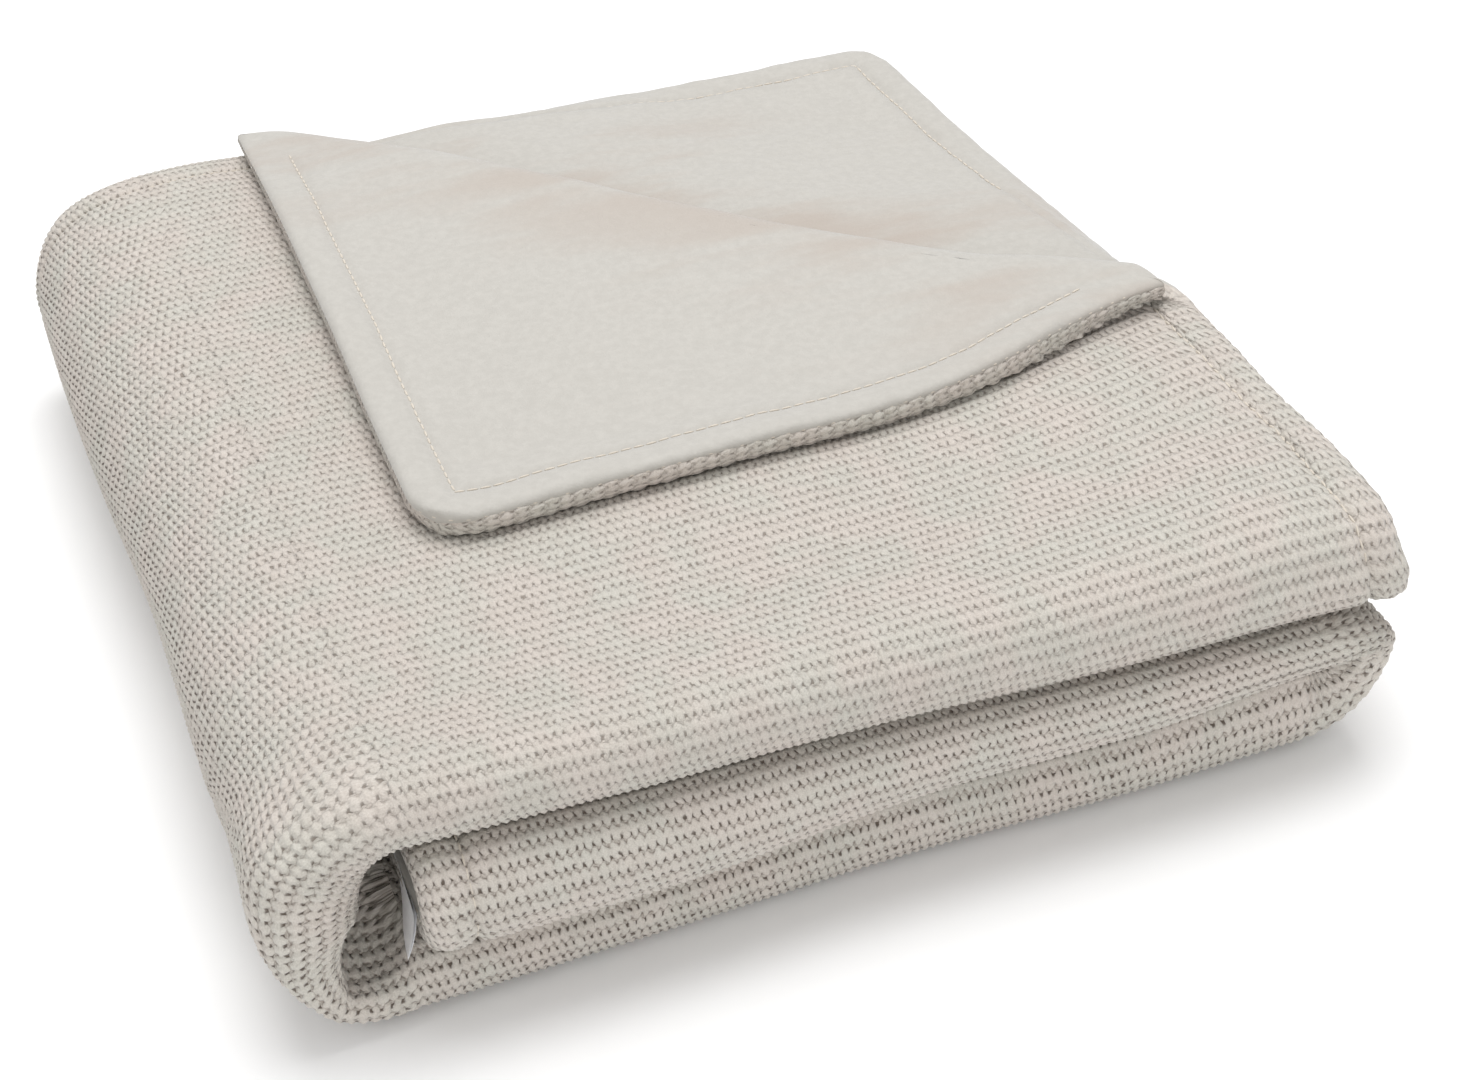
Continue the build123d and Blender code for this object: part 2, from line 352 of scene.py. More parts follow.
# ---------------------------------------------------------------- making meshes
def closed_grid(name, outer, inner, uv_outer, uv_inner, flat=None):
    """A sheet with thickness: a grid's front and back, closed all round. With flat, it is left spread out
    there, for cutting, and each point keeps its place in the pile."""
    nu, nv = outer.shape[:2]
    bm = bmesh.new()
    bmesh.ops.create_grid(bm, x_segments=nu - 1, y_segments=nv - 1, size=1.0)
    grown = bmesh.ops.extrude_face_region(bm, geom=bm.faces[:], use_keep_orig=True)
    moved = [g for g in grown["geom"] if isinstance(g, bmesh.types.BMVert)]
    bmesh.ops.translate(bm, verts=moved, vec=(0, 0, 1))
    mesh = bpy.data.meshes.new(name)
    bm.to_mesh(mesh)
    bm.free()
    count = len(mesh.vertices)
    co = np.empty(count * 3)
    mesh.vertices.foreach_get("co", co)
    co = co.reshape(-1, 3)
    i = np.rint((co[:, 0] + 1) / 2 * (nu - 1)).astype(int)
    j = np.rint((co[:, 1] + 1) / 2 * (nv - 1)).astype(int)
    front = (co[:, 2] > 0.5)[:, None]
    place = np.where(front, outer[i, j], inner[i, j]) * MM
    if flat is None:
        mesh.vertices.foreach_set("co", place.ravel())
    else:
        spread = flat[i, j] * MM + np.where(front, (0, 0, 0.01), 0)
        mesh.vertices.foreach_set("co", spread.ravel())
        mesh.attributes.new("place", "FLOAT_VECTOR", "POINT").data.foreach_set("vector", place.ravel())
    weave = np.where(front, uv_outer[i, j], uv_inner[i, j]) * MM
    corner_of = np.empty(len(mesh.loops), int)
    mesh.loops.foreach_get("vertex_index", corner_of)
    layer = mesh.uv_layers.new(name="weave")
    layer.data.foreach_set("uv", weave[corner_of].ravel())
    return mesh


def finish_mesh(mesh, cut=None):
    """Welds, cuts the folded corner off where asked, turns the faces outwards and smooths them."""
    bm = bmesh.new()
    bm.from_mesh(mesh)
    if cut is not None:
        point, normal = cut
        halved = bmesh.ops.bisect_plane(
            bm, geom=bm.verts[:] + bm.edges[:] + bm.faces[:], dist=1e-6, plane_co=point, plane_no=normal,
            clear_outer=True)
        rim = [g for g in halved["geom_cut"] if isinstance(g, bmesh.types.BMEdge) and g.is_boundary]
        bmesh.ops.holes_fill(bm, edges=rim, sides=0)
    place = bm.verts.layers.float_vector.get("place")
    if place is not None:
        for vert in bm.verts:
            vert.co = vert[place]
        bm.verts.layers.float_vector.remove(place)
    bmesh.ops.remove_doubles(bm, verts=bm.verts[:], dist=0.01 * MM)
    bmesh.ops.recalc_face_normals(bm, faces=bm.faces[:])
    bm.to_mesh(mesh)
    bm.free()
    mesh.shade_smooth()
    mesh.set_sharp_from_angle(angle=math.radians(66))
    return mesh


made = {}


def add(name, mesh, finish):
    """A finished piece of the throw."""
    obj = bpy.data.objects.new(name, mesh)
    bpy.context.scene.collection.objects.link(obj)
    mesh.materials.append(finish)
    made[name] = obj


def rolled(d):
    """How deep the outside lies under the flat cloth, at distance d from the hem."""
    t = np.clip(1 - d / EDGE, 0, 1)
    return EDGE * (1 - np.sqrt(1 - t * t))


def channel(d, depth):
    """The groove that the topstitch pulls in, at distance d from the hem."""
    return depth * hill((d - HEM_LINE) / 1.7)


def knit_back(d, lap, spare=0.25):
    """How deep the knit's inside lies: round the hem where it laps onto the fleece, and flat behind that."""
    lapped = 2 * EDGE - rolled(d) + spare
    return lapped + (KNIT - lapped) * smooth((lap - 1) / 0.8)


def lapped_relief(around, v, lap, d, height=1.2, start=0.5):
    """The stitches on what laps round to the inside."""
    return relief(around, v, height) * (1 - smooth((lap - 0.8) / 0.3)) * smooth(d / start)


def fleece_depths(d, full):
    """How deep the fleece's outside and inside lie, where it is full thick and its edge is rounded."""
    rim = np.clip(1 - d / FLEECE_EDGE, 0, 1)
    rounding = 1 - np.sqrt(1 - rim * rim)
    outside = KNIT + PLY_GAP + (FLEECE_RIM - KNIT - PLY_GAP) * rounding
    return outside, full - (full - FLEECE_RIM) * rounding


def meeting(d, outside_at, inside_at):
    """The inside, brought to the outside at the hem."""
    return np.where((d <= 0)[..., None], outside_at, inside_at)


def laid_flat(u, y):
    """The sheet's points spread out on the plan, where its folded corner is cut."""
    return np.stack([LEFT_X + u, y, np.zeros_like(u)], -1)


def knit_sheet(name, stretch, us, vs, has_end, end, cut):
    """The knitted layer of one stretch, lapped round its hems."""
    u0, v0 = np.meshgrid(us, vs, indexing="ij")
    u, v, from_end, from_back = round_corners(u0, v0, end, HALF_WIDTH, CORNER, has_end)
    d = np.minimum(from_end, from_back)
    here, out, around = surface(stretch, u, v)
    lap = np.minimum(from_end / WRAP_END, from_back / WRAP_BACK)
    outside = rolled(d) + channel(d, 1.7)
    inside = knit_back(d, lap)
    if stretch == "left_turn":
        inside = inside * (1 - 0.5 * hill(v / 24) * np.sin(u))
    last = end if stretch == "top_third" else -math.pi * (LEFT_RADIUS + RIGHT_RADIUS) - BOTTOM_LENGTH - end
    weave, back = weave_at(around, v, from_end, from_back, last)
    low, high = FINE[stretch]
    fine = smooth((v - low) / 4) * smooth((high - v) / 4)
    outside_at = here - out * (outside - fine * relief(weave[..., 0], weave[..., 1]))[..., None]
    inside_at = here - out * (inside + fine * lapped_relief(back[..., 0], back[..., 1], lap, d))[..., None]
    outside_at, inside_at = settled(outside_at), settled(meeting(d, outside_at, inside_at))
    if stretch in ("bottom_third", "left_turn", "right_turn"):
        outside_at[..., 2] = np.maximum(outside_at[..., 2], 0.1)
    return finish_mesh(closed_grid(name, outside_at, inside_at, weave, back, laid_flat(u, here[..., 1])), cut)


def swell_behind(x, y):
    """The fleece left bare by the turned corner rises to meet the fold."""
    behind = past_fold(x, y)
    return 11.0 * smooth((behind - 4) / 11) * (1 - smooth((behind - 16) / 110))


def fleece_sheet(name, stretch, us, vs, has_end, end, cut):
    """The fleece layer of one stretch, tucked behind the lapped knit, and thinner in the front fold."""
    u0, v0 = np.meshgrid(us, vs, indexing="ij")
    u, v, from_end, from_back = round_corners(u0, v0, end - INSET_END, FLEECE_WIDTH, CORNER_INSIDE, has_end)
    d = np.minimum(from_end, from_back)
    here, out, around = surface(stretch, u, v)
    thin = 9.0
    bend = np.clip((np.abs(v) - 8) / 30, 0, 1)
    full = thin + (LAYER - thin) * bend + 0.35 * waves(around, v, 26, 11) + 0.2 * waves(around, v, 9, 12)
    if stretch == "left_turn":
        full = full * (1 - 0.62 * hill(v / 24) * np.sin(u))
    outside, inside = fleece_depths(d, full)
    inside = inside - channel(np.minimum(from_end + INSET_END, from_back + INSET_BACK), 1.5)
    if stretch == "left_turn":
        outside = outside * (1 - 0.55 * hill(v / 24) * np.sin(u))
    if stretch == "top_third":
        here[..., 2] += swell_behind(here[..., 0], here[..., 1]) * smooth(-v / 40) * smooth(d / 14)
    outside_at = here - out * outside[..., None]
    inside_at = meeting(d, outside_at, here - out * inside[..., None])
    weave, flat = np.stack([around, v], -1), laid_flat(u, here[..., 1])
    return finish_mesh(closed_grid(name, settled(outside_at), settled(inside_at), weave, weave, flat), cut)


# ---------------------------------------------------------------- materials
class Value:
    """A number in a material. Python's own arithmetic on it adds the nodes."""

    def __init__(self, finish, socket):
        self.finish, self.socket = finish, socket

    def math(self, operation, *others):
        return self.finish.node("ShaderNodeMath", {"operation": operation}, dict(enumerate(others)))

    def __add__(self, other):
        return self.math("ADD", self, other)

    def __sub__(self, other):
        return self.math("SUBTRACT", self, other)

    def __mul__(self, other):
        return self.math("MULTIPLY", self, other)

    def __truediv__(self, other):
        return self.math("DIVIDE", self, other)

    def __rsub__(self, other):
        return self.math("SUBTRACT", other, self)

    __radd__, __rmul__ = __add__, __mul__

    def cos(self):
        return self.math("COSINE", self)

    def fract(self):
        return self.math("FRACT", self)

    def floor(self):
        return self.math("FLOOR", self)

    def size(self):
        return self.math("ABSOLUTE", self)

    def power(self, other):
        return self.math("POWER", self, other)

    def sin(self):
        return self.math("SINE", self)

    def sign(self):
        return self.math("SIGN", self)

    def least(self, other):
        return self.math("MINIMUM", self, other)

    def step(self, low, high):
        """0 below low, 1 above high, smooth between. Low may be the larger."""
        return self.finish.node("ShaderNodeMapRange", {"interpolation_type": "SMOOTHSTEP", "clamp": True},
                                {"Value": self, "From Min": low, "From Max": high})


class Finish:
    """One procedural material."""

    def __init__(self, name, **surface):
        self.material = bpy.data.materials.new(name)
        self.material.use_nodes = True
        self.nodes = self.material.node_tree.nodes
        self.links = self.material.node_tree.links
        self.shader = self.nodes["Principled BSDF"]
        for socket, value in surface.items():
            self.shader.inputs[socket.replace("_", " ")].default_value = value

    def node(self, kind, settings=(), values=(), output=0):
        made = self.nodes.new(kind)
        for key, value in dict(settings).items():
            setattr(made, key, value)
        for key, value in dict(values).items():
            if isinstance(value, Value):
                self.links.new(value.socket, made.inputs[key])
            else:
                made.inputs[key].default_value = value
        return Value(self, made.outputs[output])

    def mix(self, factor, first, second):
        return self.node("ShaderNodeMix", {"data_type": "RGBA"}, {0: factor, 6: first, 7: second}, 2)

    def place(self):
        return self.node("ShaderNodeTexCoord", {}, {}, 3)

    def part(self, vector, axis):
        return self.node("ShaderNodeSeparateXYZ", {}, {0: vector}, axis)

    def noise(self, where, scale, detail=2.0, roughness=0.5):
        return self.node("ShaderNodeTexNoise", {}, {"Vector": where, "Scale": scale, "Detail": detail,
                                                   "Roughness": roughness})

    def surface(self, colour, height, distance, strength):
        self.links.new(colour.socket, self.shader.inputs["Base Color"])
        bump = self.node("ShaderNodeBump", {}, {"Height": height, "Distance": distance, "Strength": strength})
        self.links.new(bump.socket, self.shader.inputs["Normal"])
        return self.material


def shade(red, green, blue):
    """A colour given as display values from 0 to 255."""
    return tuple(((c / 255 + 0.055) / 1.055) ** 2.4 for c in (red, green, blue)) + (1.0,)


KNIT_WARM, KNIT_COOL, KNIT_DULL = shade(202, 193, 185), shade(196, 193, 184), shade(183, 174, 164)
# KNIT_SHADE is painted shade in the lines between rows and also darkens some fibres at random; the two darkest
# colours are painted shade in the gaps between stitches
KNIT_LIGHT, KNIT_SHADE, KNIT_GAP_SHADE = shade(222, 217, 209), shade(148, 137, 127), shade(112, 101, 91)
KNIT_DEEP_SHADE = shade(78, 68, 60)
PER_METRE = 1000


def knit_finish():
    """Chunky knit in oatmeal yarn: plump stitches, each row half a stitch on, with painted shade in the gaps where
    they meet and in the lines between rows, darker on the lower bands.
    """
    f = Finish("oatmeal_knit", Roughness=0.9, Sheen_Weight=0.2, Sheen_Roughness=0.5, Specular_IOR_Level=0.15)
    weave = f.node("ShaderNodeUVMap", {"uv_map": "weave"})
    along = f.part(weave, 0) * (PER_METRE / STITCH)
    across = f.part(weave, 1) * (PER_METRE / ROW)
    along = along + (f.noise(weave, 60, 2.0) - 0.5) * 0.5 + (f.noise(weave, 520, 1.0) - 0.5) * 0.75
    across = across + (f.noise(weave, 110, 2.0) - 0.5) * 0.25 + (f.noise(weave, 450, 1.0) - 0.5) * 0.34
    along = along + ((across + 0.5).fract() - 0.5) * 0.25
    stitch = (along * math.tau).cos()
    row = across - stitch * (across * math.pi).sin() * ROW_WAVE
    wave = (row * math.pi).cos()
    offset = (row + 0.5).fract() - 0.5
    neck = stitch * wave.sign() + (f.noise(weave, 700, 1.0) - 0.5) * 0.5
    below = offset.step(-0.06, -0.36)
    above = offset.step(0.2, 0.46)
    gap = neck.step(-0.45, -1.0) * (below + above * 0.45).least(1.0)
    line = wave.size().step(0.5, 0.05)
    stitch_id = f.node("ShaderNodeCombineXYZ", {}, {0: (along + (wave.sign() + 1) * 0.25).floor(),
                                                    1: (row + 0.5).floor()})
    chance = f.node("ShaderNodeTexWhiteNoise", {"noise_dimensions": "2D"}, {"Vector": stitch_id})
    fibre = f.noise(weave, 2300, 3.0, 0.65)
    tint = f.noise(weave, 45, 3.0)
    base = f.mix(tint.step(0.35, 0.65), KNIT_WARM, KNIT_COOL)
    base = f.mix(chance * 0.3, base, KNIT_DULL)
    base = f.mix(fibre.step(0.42, 0.75) * 0.5, base, KNIT_LIGHT)
    base = f.mix(fibre.step(0.5, 0.25) * 0.3, base, KNIT_SHADE)
    # painted shade: below about 80 mm up, the lines between rows and the gaps between stitches are darkened more, as
    # the lower bands lie in shade
    low_shade = f.part(f.place(), 2).step(0.080, 0.052)
    uneven = f.noise(weave, 260, 2.0).step(0.3, 0.65)
    # painted shade in the lines between rows, uneven at random
    base = f.mix(line * (uneven * 0.3 + low_shade * 0.38 + 0.05), base, KNIT_SHADE)
    # painted shade in the gaps between stitches, deepest on the lower bands
    base = f.mix(gap * (low_shade * 0.25 + 0.68), base, KNIT_GAP_SHADE)
    base = f.mix(gap * low_shade * 0.6, base, KNIT_DEEP_SHADE)
    height = wave.size().power(0.7) * (neck * 0.3 + 0.7) - gap * 0.7 + (fibre - 0.5) * 0.4 + chance * 0.2
    return f.surface(base, height, 0.0012, 0.7)


def fleece_finish():
    """Short soft pile, brushed one way, with painted shade in streaks along the diagonal fold."""
    f = Finish("cream_fleece", Roughness=0.95, Sheen_Weight=0.55, Sheen_Roughness=0.35, Specular_IOR_Level=0.08)
    spot = f.place()
    nap = f.noise(spot, 1500, 3.0, 0.65)
    tuft = f.noise(spot, 330, 3.0, 0.6)
    streak_at = f.node("ShaderNodeMapping", {}, {"Vector": spot, "Rotation": (0, 0, 0.3), "Scale": (7, 26, 9)})
    streak = f.noise(streak_at, 1.0, 4.0, 0.6)
    from_fold = ((f.part(spot, 0) + f.part(spot, 1) - FOLD_SUM * MM) / ROOT2 - 0.03).size()
    # painted shade: darker streaks close to the diagonal fold, where the turned corner's roll shades the fleece
    # behind it
    pressed = streak.step(0.46, 0.66) * from_fold.step(0.12, 0.0)
    base = f.mix(tuft.step(0.3, 0.75), shade(179, 176, 170), shade(185, 182, 176))
    base = f.mix(pressed * 0.8, base, shade(175, 165, 156))
    base = f.mix(nap.step(0.55, 0.85) * 0.2, base, shade(176, 170, 163))
    height = nap * 0.5 + tuft * 0.9 + streak * 0.6
    return f.surface(base, height, 0.0006, 0.5)


def thread_finish():
    """Twisted sewing thread, a little lighter than the knit."""
    f = Finish("oatmeal_thread", Roughness=0.6, Sheen_Weight=0.2)
    spot = f.place()
    twist = f.noise(spot, 2600, 1.0)
    return f.surface(f.mix(twist, shade(196, 186, 172), shade(216, 208, 196)), twist, 0.0003, 0.5)


def label_finish():
    """White ribbed satin."""
    f = Finish("white_satin", Roughness=0.35, Sheen_Weight=0.2)
    spot = f.place()
    rib = f.node("ShaderNodeTexWave", {"bands_direction": "Z"}, {"Vector": spot, "Scale": 420.0, "Distortion": 0.4})
    grain = f.noise(spot, 900, 2.0)
    base = f.mix(grain, shade(246, 246, 248), shade(254, 254, 255))
    return f.surface(base, rib + grain * 0.4, 0.0002, 0.4)


KNIT_FINISH, FLEECE_FINISH = knit_finish(), fleece_finish()
THREAD_FINISH, LABEL_FINISH = thread_finish(), label_finish()


# ---------------------------------------------------------------- the layers, stretch by stretch
ROW_STEP, STITCH_STEP = ROW / 3, STITCH / 2
FOLD_POINT = Vector((FLAP_LOW[0] * MM, BACK * MM, 0))
PILE_SIDE = (FOLD_POINT, Vector((1, 1, 0)).normalized())
CORNER_SIDE = (FOLD_POINT, Vector((-1, -1, 0)).normalized())
FRONT_SPLIT = -9 * ROW + ROW_STEP / 2  # below the front fold, where the top third's fine grid ends


def rows(start, end, hem_start=False, hem_end=False, step=ROW_STEP):
    """Grid lines that keep to the rows of stitches."""
    return lines(start, end, step, hem_start, hem_end, first=ROW_STEP / 2)


def joined(*parts):
    """Grid lines of several zones in one run."""
    out = [parts[0]]
    for part in parts[1:]:
        out.append(part[part > out[-1][-1] + 0.5])
    return np.concatenate(out)


def knit(name, stretch, us, vs, has_end=False, end=0.0, cut=None):
    """Adds the knit of a stretch. With has_end, u = end is a hem."""
    add(name, knit_sheet(name, stretch, us, vs, has_end, end, cut), KNIT_FINISH)


def fleece(name, stretch, us, vs, has_end=False, end=0.0, cut=None):
    """Adds the fleece of a stretch."""
    add(name, fleece_sheet(name, stretch, us, vs, has_end, end, cut), FLEECE_FINISH)


top_u = lines(0, TOP_LENGTH, STITCH_STEP, hem_end=True)
knit("top_third_knit", "top_third", top_u, rows(FRONT_SPLIT, UPPER, hem_end=True), True, TOP_LENGTH, PILE_SIDE)
knit("top_third_knit_below", "top_third", lines(0, TOP_LENGTH, 2.25, hem_end=True),
     rows(LOWER, FRONT_SPLIT, hem_start=True, step=2.5), True, TOP_LENGTH)
fleece_u = lines(0, TOP_LENGTH - INSET_END, 4.0, hem_end=True)
fleece_upper = lines(0, FLEECE_WIDTH, 4.0, hem_end=True)
fleece("top_third_fleece", "top_third", fleece_u, fleece_upper, True, TOP_LENGTH, PILE_SIDE)
fleece("top_third_fleece_below", "top_third", lines(0, TOP_LENGTH - INSET_END, 3.0, hem_end=True),
       lines(-FLEECE_WIDTH, 0, 3.0, hem_start=True), True, TOP_LENGTH)

quarter = math.pi / 2
turn_rows = joined(lines(LOWER, -102, 5.0, hem_start=True), rows(-100, UPPER, hem_end=True))
turn_fleece_rows = lines(-FLEECE_WIDTH, FLEECE_WIDTH, 5.0, hem_start=True, hem_end=True)
for part, start in (("upper", 0.0), ("lower", quarter)):
    knit(f"left_turn_{part}_knit", "left_turn", np.linspace(start, start + quarter, 54), turn_rows)
    fleece(f"left_turn_{part}_fleece", "left_turn", np.linspace(start, start + quarter, 16), turn_fleece_rows)

bottom_rows = joined(lines(LOWER, -30, 6.0, hem_start=True), rows(-28, 30), lines(32, UPPER, 6.0, hem_end=True))
knit("bottom_third_knit", "bottom_third", lines(0, BOTTOM_LENGTH, STITCH_STEP), bottom_rows)
fleece("bottom_third_fleece", "bottom_third", lines(0, BOTTOM_LENGTH, 8.0), turn_fleece_rows)

right_rows = joined(lines(LOWER, -64, 5.0, hem_start=True), rows(-62, UPPER, hem_end=True))
knit("right_turn_knit", "right_turn", np.linspace(0, math.pi, 60), right_rows)
fleece("right_turn_fleece", "right_turn", np.linspace(0, math.pi, 24), turn_fleece_rows)

middle_rows = joined(lines(LOWER, -34, 6.0, hem_start=True), rows(-32, 45), rows(46, UPPER, hem_end=True, step=3.0))
knit("middle_third_knit", "middle_third", lines(0, MIDDLE_LENGTH, STITCH_STEP, hem_end=True), middle_rows, True,
     MIDDLE_LENGTH)
fleece("middle_third_fleece", "middle_third", lines(0, MIDDLE_LENGTH - INSET_END, 6.0, hem_end=True),
       turn_fleece_rows, True, MIDDLE_LENGTH)

# ---------------------------------------------------------------- the turned corner
FLAP_U = FLAP_LOW[0] - LEFT_X
FLAP_V = FLAP_LOW[1] - FLAP_FRONT - FLAP_BULGE + FLAP_BULGE * math.pi / 2
UPWARD = np.array([0, 0, 1])
THINNED = 0.22  # how much thinner the turned corner is pressed, away from its fold


def flap_sheet(name, us, vs, is_knit):
    """One layer of the turned corner: the knit lies below, the fleece on top."""
    inset_end, inset_back, radius = (0, 0, CORNER) if is_knit else (INSET_END, INSET_BACK, CORNER_INSIDE)
    u0, v0 = np.meshgrid(us, vs, indexing="ij")
    end = TOP_LENGTH - inset_end
    u, v, from_end, from_back = round_corners(u0, v0, end, HALF_WIDTH - inset_back, radius, True)
    d = np.minimum(from_end, from_back)
    flat = laid_flat(u, unturned(u, v)[1])
    behind = np.maximum(past_fold(flat[..., 0], flat[..., 1]), 0)
    hem = np.minimum(from_end + inset_end, from_back + inset_back)
    groove = smooth(behind / 18)
    thin = 1 - THINNED * smooth(behind / 90) * (1 - 0.35 * smooth((30 - hem) / 30))
    if is_knit:
        lap = np.minimum(from_end / WRAP_END, from_back / WRAP_BACK)
        weave, back = weave_at(u, v, from_end, from_back, end)
        below = rolled(d) + channel(d, 1.0) * groove - relief(weave[..., 0], weave[..., 1])
        above = knit_back(d, lap) + lapped_relief(back[..., 0], back[..., 1], lap, d)
    else:
        full = LAYER + (0.5 * waves(u, v, 60, 21) + 0.25 * waves(u, v, 17, 22)) * smooth(behind / 25)
        below, above = fleece_depths(d, full)
        above = above - channel(hem, 1.5) * groove
        weave = back = np.stack([u, v], -1)
    here = corner_flap(u, v)
    first = here + UPWARD * (below * thin)[..., None]
    second = meeting(d, first, here + UPWARD * (above * thin)[..., None])
    return finish_mesh(closed_grid(name, settled(first), settled(second), weave, back, flat), CORNER_SIDE)


flap_u = lines(FLAP_U, TOP_LENGTH, 2.0, hem_end=True)
flap_v = lines(FLAP_V, UPPER, 2.0, hem_end=True)
add("corner_flap_knit", flap_sheet("corner_flap_knit", flap_u, flap_v, True), KNIT_FINISH)
flap_u = lines(FLAP_U, TOP_LENGTH - INSET_END, 2.0, hem_end=True)
flap_v = lines(FLAP_V, FLEECE_WIDTH, 2.0, hem_end=True)
add("corner_flap_fleece", flap_sheet("corner_flap_fleece", flap_u, flap_v, False), FLEECE_FINISH)

ALONG_FOLD = np.array([1, -1, 0]) / ROOT2


def roll_sheet(name, is_knit):
    """One layer round the diagonal fold: the knit is inside, the fleece outside."""
    inset = 0 if is_knit else INSET_END
    us = lines(inset, FOLD_LENGTH - inset, 2.0, hem_start=True, hem_end=True)
    vs = np.linspace(-quarter, quarter, 25)
    u, v = np.meshgrid(us, vs, indexing="ij")
    d = np.minimum(u - inset, FOLD_LENGTH - inset - u)
    if is_knit:
        lap = d / 3.5
        nearer = rolled(d) + PLY_GAP
        further = knit_back(d, lap, 0.2) + lapped_relief(v * EDGE, u, lap, d, 0.9, 1.5)
    else:
        nearer, further = fleece_depths(d, LAYER + 0.35 * waves(u, v * 10, 40, 31) * np.cos(v))
    here = corner_roll(u, v)
    out = np.stack([np.cos(v) / ROOT2, np.cos(v) / ROOT2, np.sin(v)], -1)
    inward = 1.15 * np.cos(v) * (1 - 2 * u / FOLD_LENGTH)  # keeps the ends of the fold in line with the hems
    first = here + out * nearer[..., None] + (nearer * inward)[..., None] * ALONG_FOLD
    second = here + out * further[..., None] + (further * inward)[..., None] * ALONG_FOLD
    second = meeting(d, first, second)
    weave = np.stack([v * EDGE, u], -1)
    return finish_mesh(closed_grid(name, settled(first), settled(second), weave, weave))


add("corner_roll_knit", roll_sheet("corner_roll_knit", True), KNIT_FINISH)
add("corner_roll_fleece", roll_sheet("corner_roll_fleece", False), FLEECE_FINISH)

# ---------------------------------------------------------------- threads and label
PITCH, STITCH_RUN, THREAD = 4.0, 2.9, 0.4
SHORTEST, LONGEST = 0.5, 8.0  # a stitch outside these has fallen on the wrong ply
RING_POINTS = 160
CLEAR_OF_FOLD = 6.0
trees = {}


def follow(points, pieces, pitch=PITCH, run=STITCH_RUN, proud=0.1):
    """Lays stitches along a line of points, down on the surface of the cloth."""
    for p in pieces:
        if p not in trees:
            trees[p] = BVHTree.FromObject(made[p], bpy.context.evaluated_depsgraph_get())
    steps = np.linalg.norm(np.diff(points, axis=0), axis=1)
    far = np.concatenate([[0], np.cumsum(steps)])
    starts = np.arange(1.0, far[-1] - run, pitch)
    found = []
    for at in np.stack([starts, starts + run], 1).ravel():
        spot = [np.interp(at, far, points[:, k]) for k in range(3)]
        hits = [trees[p].find_nearest(Vector(spot) * MM) for p in pieces]
        hit = min(hits, key=lambda h: h[3])
        found.append(hit[0] + hit[1] * proud * MM)
    return list(zip(found[::2], found[1::2]))


def thread(name, spans):
    """All the stitches of one seam, each a small spindle."""
    bm = bmesh.new()
    for a, b in spans:
        length = (b - a).length
        if not SHORTEST * MM <= length <= LONGEST * MM:
            continue
        turn = (b - a).to_track_quat("Z", "Y").to_matrix().to_4x4()
        size = Matrix.Diagonal((THREAD * MM, THREAD * MM, length / 2 + 0.3 * MM, 1))
        matrix = Matrix.Translation((a + b) / 2) @ turn @ size
        bmesh.ops.create_uvsphere(bm, u_segments=6, v_segments=5, radius=1, matrix=matrix)
    mesh = bpy.data.meshes.new(name)
    bm.to_mesh(mesh)
    bm.free()
    mesh.shade_smooth()
    add(name, mesh, THREAD_FINISH)


def ring(start, end, inset, has_end, ply, fold=0):
    """A line round one ply, at a distance in from its hems: fold -1 keeps what lies flat, 1 the turned corner."""
    edge = ply * (HALF_WIDTH - inset)
    us = np.linspace(start, end - (inset if has_end else 0), RING_POINTS)
    vs = np.full_like(us, edge)
    if has_end:
        more = np.linspace(edge, 0, RING_POINTS)[1:]
        us, vs = np.concatenate([us, np.full_like(more, end - inset)]), np.concatenate([vs, more])
        us, vs = round_corners(us, vs, end, HALF_WIDTH, CORNER, True)[:2]
    if fold:
        x, y = unturned(us, vs)
        side = fold * (x + y - FOLD_SUM)
        ends = np.flatnonzero(np.diff(side > CLEAR_OF_FOLD * (fold + 1))) + 1
        runs = np.split(np.arange(len(us)), ends)
        return [(us[r], vs[r]) for r in runs if len(r) > 3 and side[r].mean() > CLEAR_OF_FOLD]
    return [(us, vs)]


def sewn(stretch, start, end, has_end, pieces, inset, depth, plies=(1, -1), fold=0, **size):
    """The stitches of one line of sewing on one stretch, as their end points."""
    spans = []
    for ply in plies:
        for u, v in ring(start, end, inset, has_end, ply, fold):
            if stretch == "corner_flap":
                thin = 1 - THINNED * smooth(np.maximum(past_fold(*unturned(u, v)), 0) / 90)
                spot = corner_flap(u, v) + UPWARD * (depth * thin)[..., None]
            else:
                here, out, _ = surface(stretch, u, v)
                spot = here - out * depth
            spans += follow(settled(spot), pieces, **size)
    return spans


